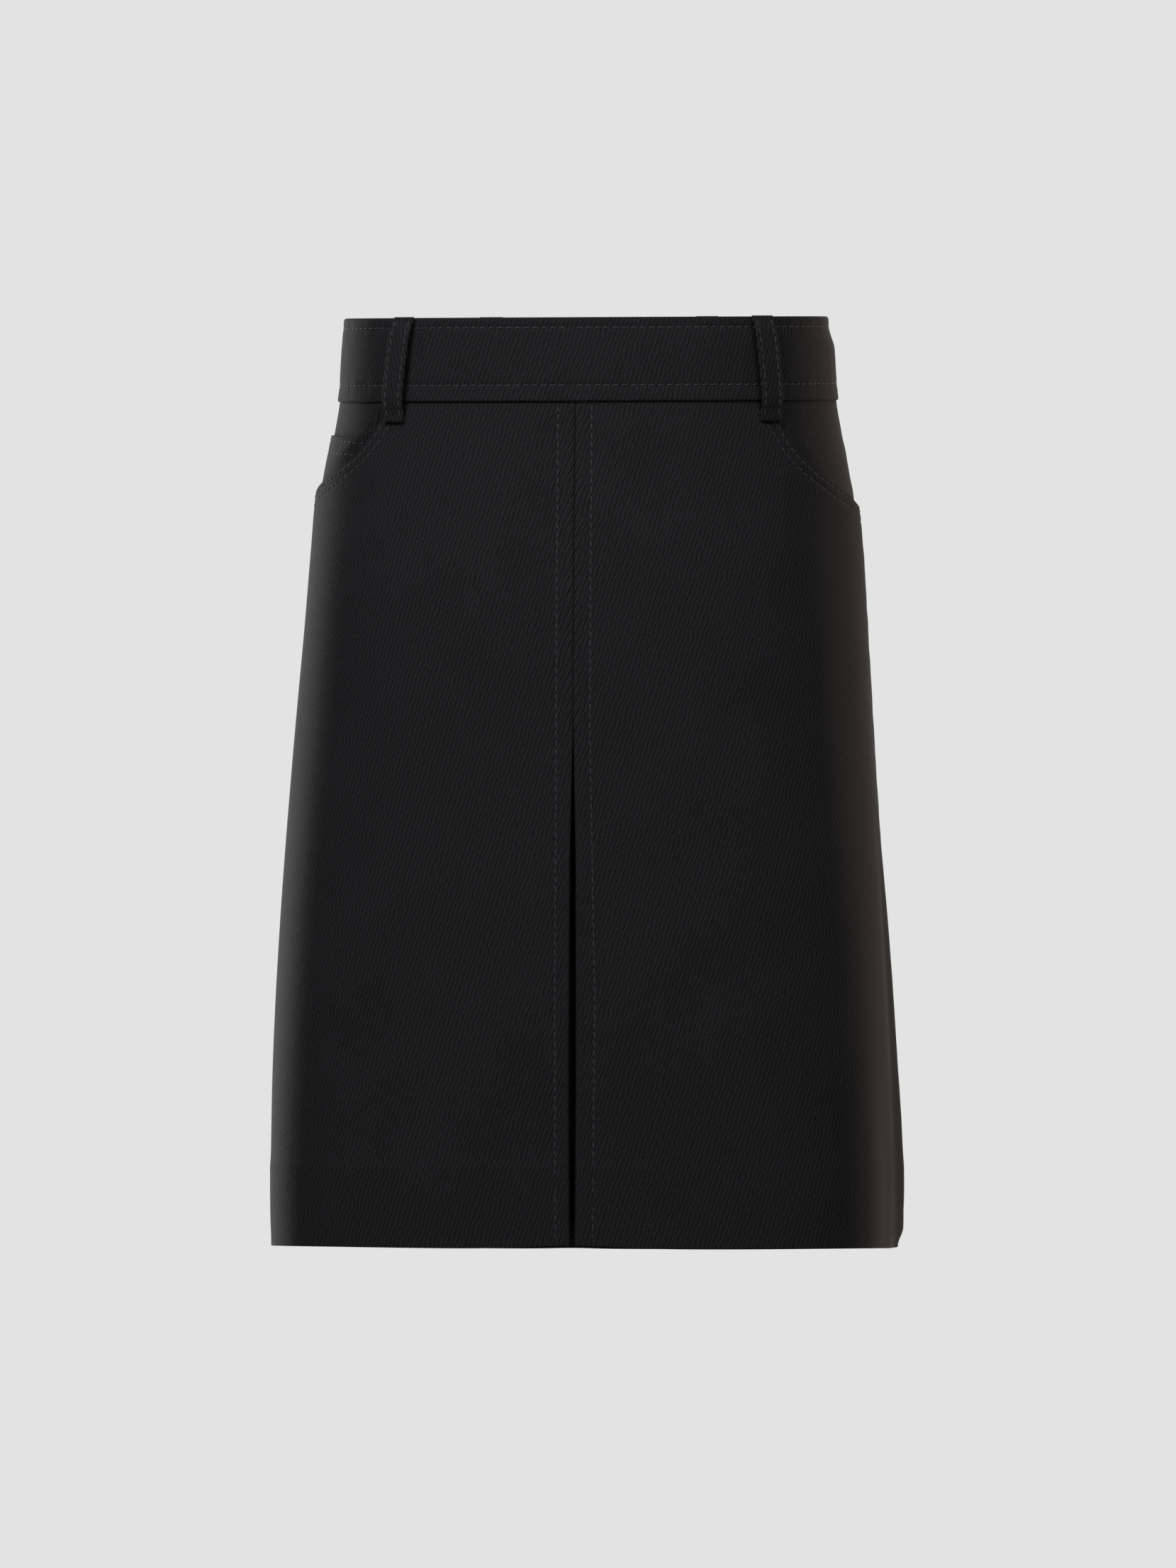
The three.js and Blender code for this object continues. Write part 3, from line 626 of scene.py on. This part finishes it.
def stitch_on(name, side, s, h, d, slant=STITCH_SLANT):
    """A stitch row along cloth places s, h at height d over the form."""
    low = on_cloth(side, s, h, d)
    high = on_cloth(side, s, h, np.asarray(d) + 1)
    return stitch_row(name, low, (high - low) / MM, slant)


# ---------------------------------------------------------------- front panels
def row_under(top, row):
    """A row's depth under a panel's own top edge: the rows level out lower down."""
    return row + (top - IN_SLOT) * np.maximum(0, 1 - (row - IN_SLOT) / (LEVEL_BELOW - IN_SLOT))


def turn_up(u, h):
    """The turned-up hem's thickness inside, which stops short of the pleat's folds."""
    thick = TURN_UP_THICK * smoothstep(h, LENGTH - TURN_UP - 1, LENGTH - TURN_UP + 2)
    return np.where(u < 0.23, 0, thick)


ROWS = spread((IN_SLOT, 2.2), (UNDER_BAND, 1.6), (120, 3.2), (LEVEL_BELOW, 4), (460, 2), (LENGTH, 1))


def pleat_edge_out(side, s, h):
    """Below the sewn part the wearer's left fold rides up a little, and the right one rolls under."""
    free = smoothstep(h, PLEAT_SEWN_TO, PLEAT_SEWN_TO + 100)
    return PLEAT_EDGE_OUT[side] * free * np.exp(-((s / PLEAT_EDGE_WIDTH) ** 2))


def hem_lift(s, h):
    """How far the hem rises towards the pleat's folds."""
    return HEM_LIFT * np.exp(-((s / HEM_LIFT_WIDTH) ** 2)) * smoothstep(h, HEM_LIFT_START, LENGTH)


RETURN_COLUMNS = spread((RETURN_DEPTH, -4), (4, 0))
FOLD_TURNS = np.linspace(np.pi, 0, 13)
FACE_COLUMNS = np.concatenate([
    spread((0.018, 0.006), (0.08, 0.011), (0.5, 0.008), (0.5515, 0)),
    spread((0.5535, 0.0055), (0.72, 0.008), (1, 0)),
])


def pleat_return(side, outer):
    """The return behind the pleat and its rolled edge, on the wall's inner or outer face."""
    h = row_under(UNDER_BAND, ROWS)[None, :]
    back = on_cloth(side, RETURN_COLUMNS[:, None], h, -LAYER_GAP - outer * CLOTH)
    radius = CLOTH * outer + LAYER_GAP / 2
    squash = 0.3 + 0.7 * smoothstep(h, 215, 300)
    s = squash * (CLOTH + LAYER_GAP / 2 - radius * np.sin(FOLD_TURNS)[:, None])
    s = s + np.interp(h, PLEAT_GAP[:, 0], PLEAT_GAP[:, 1])
    riding = pleat_edge_out(side, s, h) * (FOLD_TURNS < 2)[:, None]
    d = -LAYER_GAP / 2 + radius * np.cos(FOLD_TURNS)[:, None] + riding
    return np.concatenate([back, on_cloth(side, s, h, d)])


def face_places(side, u):
    """Cloth places of a front's face, from its top edge under the band or along the mouth."""
    top = np.where(u > MOUTH_U, mouth_at(side, u), np.where(u < 0.04, UNDER_BAND, IN_SLOT))
    h = row_under(top, ROWS[None, :])
    return distance(u, h) - np.where(u == 1, SEAM_GAP / 2, 0), h


def front_panel(side):
    """One front with its pocket mouth, the pleat's rolled edge and the return behind it."""
    u = FACE_COLUMNS[:, None]
    s, h = face_places(side, u)
    relief = seam_relief(side, s, h) * smoothstep(h, UNDER_BAND, UNDER_BAND + 4)
    middle = lift_at(side, u, h) + relief + pleat_edge_out(side, s, h)
    inner = np.concatenate([pleat_return(side, 0), on_cloth(side, s, h, middle - turn_up(u, h))])
    outer = np.concatenate([pleat_return(side, 1), on_cloth(side, s, h, middle + CLOTH)])
    behind = np.concatenate([-RETURN_COLUMNS, np.linspace(-4, 1.5, len(FOLD_TURNS))])
    flat_s, flat_h = np.broadcast_arrays(behind[:, None], row_under(UNDER_BAND, ROWS)[None, :])
    flat = np.stack([side * np.concatenate([flat_s, s]), -np.concatenate([flat_h, h])], -1)
    for grid in (inner, outer):
        grid[..., 2] += hem_lift(flat[..., 0], -flat[..., 1]) * MM
    return wall(f"front_panel_{SIDE_NAMES[side]}", inner, outer, flat, side < 0, WOOL)


def front_stitching(side):
    rows = []
    h = np.arange(49, LENGTH - 1, 2.0)
    s = np.interp(h, PLEAT_STITCH[:, 0], PLEAT_STITCH[:, 1 if side > 0 else 2])
    d = CLOTH - 0.3 + pleat_edge_out(side, s, h)
    rows.append(stitch_on(f"stitching_pleat_{SIDE_NAMES[side]}", side, s, h - hem_lift(s, h), d))
    for k, far in enumerate(MOUTH_STITCH):
        u = np.linspace(0.565 - 0.012 * k, 0.995, 60)
        edge = mouth_at(side, u)
        slope = np.gradient(edge, distance(u, edge))
        size = np.hypot(1, slope)
        s = distance(u, edge) - far * slope / size
        h = edge + far / size
        keep = h > 49
        out = CLOTH - 0.26 + lift_at(side, share_round(s, h), h)
        name = f"stitching_mouth_{SIDE_NAMES[side]}_{k + 1}"
        rows.append(stitch_on(name, side, s[keep], h[keep], out[keep]))
    return rows


def build_fronts():
    for side in (1, -1):
        name = SIDE_NAMES[side]
        panel = front_panel(side)
        stitching = front_stitching(side)
        place_piece(panel, f"front_{name}")


def build_underlay():
    s = spread((-UNDERLAY_HALF, 4), (UNDERLAY_HALF, 0))[:, None]
    h = row_under(UNDER_BAND, ROWS)[None, :]
    outer = -2 * LAYER_GAP - CLOTH
    flat = np.stack(np.broadcast_arrays(s, -h), -1)
    deeper = UNDERLAY_DEEPER * np.exp(-((s / UNDERLAY_DEEPER_WIDTH) ** 2))
    outer = outer - deeper * smoothstep(h, PLEAT_SEWN_TO - 5, 300)
    grids = [on_cloth(1, s, h, outer - (1 - which) * CLOTH) for which in (0, 1)]
    panel = wall("pleat_underlay_cloth", grids[0], grids[1], flat, False, WOOL)
    place_piece(panel, "pleat_underlay")


# ---------------------------------------------------------------- pockets
FACING_BOTTOM = np.array([(0.44, 100), (0.56, 118), (0.72, 136), (1, 148)])
BAG_BOTTOM = np.array([(0.38, 165), (0.44, 203), (0.55, 219), (0.72, 224), (0.9, 218), (1, 204)])
COIN_TOP = np.array([(0.59, 69), (0.65, 68.5), (0.85, 66), (1, 66)])
COIN_BELOW_EDGE = 17
COIN_STITCH = (2, 9)


def pocket_facing(side):
    u = spread((0.44, 0.008), (1, 0))[:, None]
    top = np.where(u < 0.64, UNDER_BAND, IN_SLOT)
    bottom = np.interp(u, FACING_BOTTOM[:, 0], FACING_BOTTOM[:, 1])
    h = top + (bottom - top) * np.linspace(0, 1, 60)[None, :]
    s = distance(u, h) - np.where(u == 1, SEAM_GAP / 2, 0)
    out = facing_out(side, u, h) + groove(s - seam_at(h), *FACING_GROOVE)
    grids = [on_cloth(side, s, h, out + which * CLOTH) for which in (0, 1)]
    flat = np.stack([side * s, -h], -1)
    name = SIDE_NAMES[side]
    panel = wall(f"pocket_facing_cloth_{name}", grids[0], grids[1], flat, side < 0, WOOL)
    place_piece(panel, f"pocket_facing_{name}")


def pocket_bag(side):
    u = spread((0.38, 0.012), (1, 0))[:, None]
    bottom = np.interp(u, BAG_BOTTOM[:, 0], BAG_BOTTOM[:, 1])
    h = BAND_HEIGHT - 3 + (bottom - BAND_HEIGHT + 3) * np.linspace(0, 1, 50)[None, :]
    s = distance(u, h) - np.where(u == 1, SEAM_GAP, 0)
    outer = -POCKET_ROOM[side] - 1.5 * LAYER_GAP
    grids = [on_cloth(side, s, h, outer - (1 - which) * BAG_THICK) for which in (0, 1)]
    flat = np.stack([side * s, -h], -1)
    name = SIDE_NAMES[side]
    panel = wall(f"pocket_bag_cloth_{name}", grids[0], grids[1], flat, side < 0, POCKETING, 0.3)
    place_piece(panel, f"pocket_bag_{name}")


def coin_pocket():
    side = -1
    u = spread((0.59, 0.006), (1, 0))[:, None]
    top = np.interp(u, COIN_TOP[:, 0], COIN_TOP[:, 1])
    bottom = np.maximum(mouth_at(side, u) - 1 + COIN_BELOW_EDGE, top + 14)
    h = top + (bottom - top) * np.linspace(0, 1, 44)[None, :]
    s = distance(u, h) - np.where(u == 1, SEAM_GAP / 2, 0)
    out = facing_out(side, u, h) + CLOTH + LAYER_GAP
    for far in COIN_STITCH:
        out = out + groove(h - top - far, *COIN_GROOVE)
    grids = [on_cloth(side, s, h, out + which * CLOTH) for which in (0, 1)]
    panel = wall("coin_pocket_cloth", grids[0], grids[1], np.stack([side * s, -h], -1), True, WOOL)
    for k, far in enumerate(COIN_STITCH):
        u = np.linspace(0.63, 0.99, 40)
        h = np.interp(u, COIN_TOP[:, 0], COIN_TOP[:, 1]) + far
        keep = h < mouth_at(side, u) - 1
        d = facing_out(side, u, h) + 2 * CLOTH + LAYER_GAP - 0.2
        stitch_on(f"stitching_coin_{k + 1}", side, distance(u, h)[keep], h[keep], d[keep])
    place_piece(panel, "coin_pocket")


# ---------------------------------------------------------------- back panels
def back_panel(side):
    u = spread((1, 0.008), (1.06, 0.014), (1.9, 0.008), (2, 0))[:, None]
    h = ROWS[None, :]
    s = distance(u, h) + np.where(u == 1, SEAM_GAP / 2, np.where(u == 2, -SEAM_GAP / 2, 0))
    relief = seam_relief(side, s, h) * smoothstep(h, UNDER_BAND, UNDER_BAND + 4)
    grids = [on_cloth(side, s, h, relief + (CLOTH if which else -turn_up(u, h))) for which in (0, 1)]
    flat = np.stack(np.broadcast_arrays(side * (s - seam_at(h)), -h), -1)
    name = SIDE_NAMES[side]
    panel = wall(f"back_panel_{name}", grids[0], grids[1], flat, side < 0, WOOL)
    place_piece(panel, f"back_{name}")


# ---------------------------------------------------------------- waistband
def band_section():
    """The band's outline as (d, h) places: a soft rolled top edge, and two walls round the panels' tops."""
    outside = [(BAND_OUT, h) for h in np.arange(46.2, 2.2, -0.8)]
    centre, radius = (BAND_OUT - 0.2) / 2, (BAND_OUT + 0.2) / 2
    turns = np.linspace(0.1, math.pi - 0.1, 13)
    roll = [(centre + radius * math.cos(a), 1.5 - 1.5 * math.sin(a)) for a in turns]
    inside = [(-0.2, h) for h in np.arange(3, 33, 2.0)] + [(BAND_IN, 36), (BAND_IN, 40), (BAND_IN, 46.6)]
    slot = [
        (-0.9, 47), (-0.4, 46.7), (-0.3, 42), (-0.3, 37.6),
        (1.5, 37.6), (1.5, 42), (1.6, 46.7), (2.1, 47.1),
    ]
    return np.array([*outside, *roll, *inside, *slot])[::-1]


def build_waistband():
    around = spread((0, 0.01), (2, 0))
    sides = np.concatenate([-np.ones(len(around) - 1), np.ones(len(around))])
    u = np.concatenate([around[:0:-1], around])
    section = band_section()
    stations = []
    for side in (-1, 1):
        here = u[sides == side][:, None]
        d, h = section[None, :, 0], section[None, :, 1]
        s = distance(here, h) - np.where(here == 2, BAND_END, 0)
        outer = d > BAND_OUT - 0.3
        relief = sum(groove(h - row, *BAND_GROOVE) + pucker(s * 1.3 + row * 5, h - row, 5, 0.09)
                     for row in BAND_STITCH)
        middle = 0.35 * np.sin(np.clip((h - 6) / 32, 0, 1) * np.pi)
        stations.append(on_cloth(side, s, h, d + outer * (relief + middle)))
    stations = np.concatenate(stations)
    along = np.concatenate([side * distance(u[sides == side], 20.0) for side in (-1, 1)])
    flat = np.stack(np.broadcast_arrays(along[:, None], -section[None, :, 1]), -1)
    band = recalculated(sweep("waistband_cloth", stations, flat, WOOL))
    for k, row in enumerate(BAND_STITCH):
        for side in (1, -1):
            s = np.arange(0 if side > 0 else STITCH_PITCH, end_at(row) - 3, 2.0)
            name = f"stitching_band_{k + 1}_{SIDE_NAMES[side]}"
            stitch_on(name, side, s, np.full_like(s, row), BAND_OUT - 0.3)
    place_piece(band, "waistband")


# ---------------------------------------------------------------- belt loops
LOOP_PATH = np.array([
    (-0.5, 3), (2.5, 3.6), (6, 5.2), (12, 6.1), (28, 6.4), (43, 6), (49, 4.6), (53, 2.8), (58.5, 1.7),
])
LOOP_TOP = LOOP_PATH[0, 0]
LOOP_FOOT = LOOP_PATH[-1, 0]
LOOP_STITCH_OUT = 4.4
# Name, side, measured from the front or the back, cloth distance at the top and at the foot.
LOOPS = [
    ("front_left", 1, "front", 104.5, 110.5),
    ("front_right", -1, "front", 98.5, 105.5),
    ("back_left", 1, "back", 62, 64),
    ("back_right", -1, "back", 62, 64),
]


def belt_loop(name, side, measured, top, foot):
    """A flat loop standing off the band, with both ends folded down onto the cloth."""
    h = spread((LOOP_TOP, 0.9), (LOOP_FOOT, 0))
    d = smooth_table(LOOP_PATH, 1, h)
    middle = top + (foot - top) * h / LOOP_FOOT
    turn = np.linspace(0, 2 * np.pi, 40, endpoint=False)
    across = LOOP_WIDTH / 2 * np.sign(np.cos(turn)) * np.abs(np.cos(turn)) ** 0.25
    thick = LOOP_THICK / 2 * np.sign(np.sin(turn)) * np.abs(np.sin(turn)) ** 0.6
    ends = np.minimum(1, np.minimum(h - LOOP_TOP + 0.4, LOOP_FOOT + 0.4 - h) / 1.1) ** 0.5
    edge = (np.sin(turn) > 0) * groove(np.abs(across) - LOOP_STITCH_OUT, *LOOP_GROOVE)
    s = middle[:, None] + across[None, :]
    out = d[:, None] + LOOP_THICK / 2 + (thick + edge)[None, :] * ends[:, None]
    hh = np.broadcast_to(h[:, None], s.shape)
    place = s if measured == "front" else end_at(hh) - s
    flat = np.stack([across[None, :] + 0 * hh, -hh], -1)
    loop = recalculated(sweep(f"belt_loop_cloth_{name}", on_cloth(side, place, hh, out), flat, WOOL))
    for k, beside in enumerate((-LOOP_STITCH_OUT, LOOP_STITCH_OUT)):
        run = np.arange(1.5, LOOP_FOOT - 1, 1.0)
        s = top + (foot - top) * run / LOOP_FOOT + beside
        s = s if measured == "front" else end_at(run) - s
        high = smooth_table(LOOP_PATH, 1, run) + LOOP_THICK - 0.2
        stitch_on(f"stitching_loop_{name}_{k + 1}", side, s, run, high, LOOP_STITCH_SLANT)
    place_piece(loop, f"belt_loop_{name}")


# ---------------------------------------------------------------- zip
def zip_tape(side):
    back = np.linspace(TAPE_WIDTH, BAND_END, 8)[:, None]
    h = spread((4, 3), (ZIP_LENGTH, 0))[None, :]
    outer = BAND_IN - LAYER_GAP
    grids = [on_cloth(side, end_at(h) - back, h, outer - (1 - which) * TAPE_THICK) for which in (0, 1)]
    flat = np.stack(np.broadcast_arrays(side * back, -h), -1)
    name = SIDE_NAMES[side]
    tape = wall(f"zip_tape_cloth_{name}", grids[0], grids[1], flat, side < 0, TAPE, 0.25)
    place_piece(tape, f"zip_tape_{name}")


COIL_PITCH = 1.6
COIL_TOP = 20


def zip_coil():
    """The closed nylon coil on the inside of the tapes, as a row of small plain blocks below the slider."""
    vertices, faces = [], []
    for tooth, h in enumerate(np.arange(COIL_TOP, ZIP_LENGTH - 4, COIL_PITCH)):
        back = [-1.7, 1.7, 1.7, -1.7] if tooth % 2 else [-1.5, 1.9, 1.9, -1.5]
        base = len(vertices)
        for depth in (-2.8, -3.9):
            for k, b in enumerate(back):
                here = h + (0.45 if k > 1 else -0.45)
                side = 1 if b < 0 else -1
                vertices.append(on_cloth(side, end_at(here) - abs(b), here, depth).tolist())
        loop = [0, 1, 2, 3]
        faces += [[base + k for k in loop], [base + 4 + k for k in reversed(loop)]]
        faces += [[base + k, base + 4 + k, base + 4 + (k + 1) % 4, base + (k + 1) % 4] for k in loop]
    coil = new_object("zip_coil", np.array(vertices), np.array(faces), None, TAPE)
    recalculated(coil)
    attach(coil, "skirt")


def build_zip():
    for side in (1, -1):
        zip_tape(side)
    zip_coil()
    for name in ("zip_slider", "zip_tab"):
        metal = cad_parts[name]
        metal.data.materials.clear()
        metal.data.materials.append(ZIP_METAL)


# ---------------------------------------------------------------- camera, light, floor and backdrop
CAMERA_TURN = math.radians(4.2)
CAMERA_AWAY = 4.0
CAMERA_HEIGHT = -0.2398
FRAME_TALL = 0.8848
BACKDROP = "#e3e3e3"


def aim(obj, target):
    """Turns a camera or lamp so that it looks at a point."""
    direction = np.array(target) - np.array(obj.location)
    level = math.hypot(direction[0], direction[1])
    pitch = math.pi / 2 + math.atan2(direction[2], level)
    obj.rotation_euler = (pitch, 0, math.atan2(-direction[0], direction[1]))


def build_camera():
    data = bpy.data.cameras.new("camera")
    data.sensor_width = 36
    data.lens = data.sensor_width * CAMERA_AWAY / FRAME_TALL
    data.clip_end = 50
    camera = bpy.data.objects.new("camera", data)
    across, back = math.sin(CAMERA_TURN), math.cos(CAMERA_TURN)
    camera.location = (CAMERA_AWAY * across, -CAMERA_AWAY * back, CAMERA_HEIGHT)
    aim(camera, (0, 0, CAMERA_HEIGHT))
    bpy.context.scene.collection.objects.link(camera)
    bpy.context.scene.camera = camera


# Name, place, width, height, power in watts, colour.
LAMPS = [
    ("front_softbox", (-0.75, -1.25, 1.2), 0.8, 0.8, 23, "#fffdfa"),
    ("front_fill", (0.9, -1.4, 1.15), 0.9, 0.9, 13.5, "#fffdf8"),
    ("left_strip", (-2.0, 2.1, 0.0), 0.6, 2.4, 82, "#fffdfc"),
    ("right_strip", (2.0, 1.9, -0.1), 0.6, 2.4, 44, "#ffe6d2"),
    ("back_softbox", (0.3, 2.6, 1.2), 1.8, 1.6, 30, "#ffffff"),
]


def build_lamps():
    for name, place, wide, tall, watts, colour in LAMPS:
        data = bpy.data.lights.new(name, "AREA")
        data.shape = "RECTANGLE"
        data.size, data.size_y = wide, tall
        data.energy = watts
        data.color = linear(colour)[:3]
        lamp = bpy.data.objects.new(name, data)
        lamp.location = place
        aim(lamp, (0, 0, CAMERA_HEIGHT))
        bpy.context.scene.collection.objects.link(lamp)


def build_backdrop():
    """The world is dim plain light, and the camera sees the pale backdrop's colour in it."""
    world = bpy.data.worlds.new("studio")
    bpy.context.scene.world = world
    world.use_nodes = True
    tree = world.node_tree
    tree.nodes.clear()
    path = node(tree, "ShaderNodeLightPath")
    seen = node(tree, "ShaderNodeMath", {"operation": "MAXIMUM"},
                _0=path.outputs["Is Camera Ray"], _1=path.outputs["Is Transmission Ray"])
    air = node(tree, "ShaderNodeBackground", {"Color": linear("#ffffff"), "Strength": 0.06})
    backdrop = node(tree, "ShaderNodeBackground", {"Color": linear(BACKDROP), "Strength": 1})
    mix = node(tree, "ShaderNodeMixShader", {}, _0=seen.outputs[0], _1=air.outputs[0], _2=backdrop.outputs[0])
    out = tree.nodes.new("ShaderNodeOutputWorld")
    tree.links.new(mix.outputs[0], out.inputs["Surface"])


FLOOR_BELOW = -1.7
FLOOR_REACH = 2.4
FLOOR_SIDES = 96


def build_floor():
    """A painted studio floor, matt and nearly even, kept pale to the eye so that only the shadow shows."""
    material, tree = new_material("painted_floor")
    grain = node(tree, "ShaderNodeTexNoise", {"Scale": 6, "Detail": 2})
    colour = node(tree, "ShaderNodeValToRGB", {}, Fac=grain.outputs[0])
    set_ramp(colour, "#e1e1e1", "#e5e5e5")
    paint = node(tree, "ShaderNodeBsdfDiffuse", {}, Color=colour.outputs[0])
    pale = node(tree, "ShaderNodeEmission", {}, Color=colour.outputs[0])
    path = node(tree, "ShaderNodeLightPath")
    share = node(tree, "ShaderNodeMath", {"operation": "MULTIPLY", "#1": 0.7},
                 _0=path.outputs["Is Camera Ray"])
    shader = node(tree, "ShaderNodeMixShader", {},
                  _0=share.outputs[0], _1=paint.outputs[0], _2=pale.outputs[0])
    finish_material(tree, shader)
    turn = np.linspace(0, 2 * np.pi, FLOOR_SIDES, endpoint=False)
    level = np.full(FLOOR_SIDES, FLOOR_BELOW)
    points = np.stack([FLOOR_REACH * np.cos(turn), FLOOR_REACH * np.sin(turn), level], 1)
    floor = new_object("floor", points, np.arange(FLOOR_SIDES)[None, :], None, material)


def main():
    build_camera()
    build_fronts()
    build_underlay()
    for side in (1, -1):
        pocket_facing(side)
        pocket_bag(side)
        back_panel(side)
    coin_pocket()
    build_waistband()
    for loop in LOOPS:
        belt_loop(*loop)
    build_zip()
    build_lamps()
    build_backdrop()
    build_floor()
    bpy.context.scene.view_settings.view_transform = "Standard"


main()
